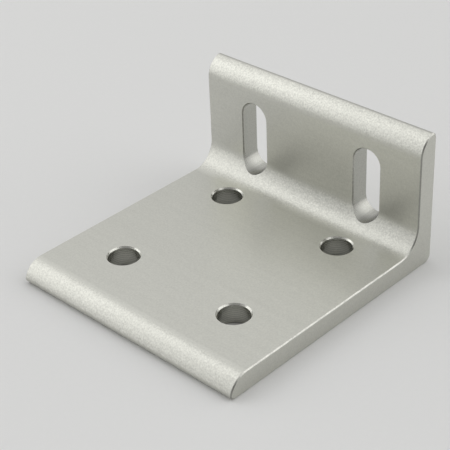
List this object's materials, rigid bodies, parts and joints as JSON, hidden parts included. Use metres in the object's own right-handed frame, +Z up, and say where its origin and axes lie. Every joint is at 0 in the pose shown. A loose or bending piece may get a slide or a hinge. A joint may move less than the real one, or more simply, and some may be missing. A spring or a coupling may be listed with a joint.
{
  "type": "t slot corner bracket",
  "caption": "L-shaped extruded aluminium bracket that bolts slotted frame profiles together at a corner, with round holes in its base and long holes in its upright.",
  "frame": {"origin": "middle of the base's outline, on its underside", "axes": "+X along the bend, +Y from the open end of the base to the upright, +Z up"},
  "size_m": [0.075, 0.078, 0.039],
  "materials": {
    "anodised_aluminium": "clear anodised over a fine etched grain, satin, with a faint sparkle on the rounded edges"
  },
  "bodies": {
    "root": {"bracket": "anodised_aluminium"}
  },
  "joints": []
}
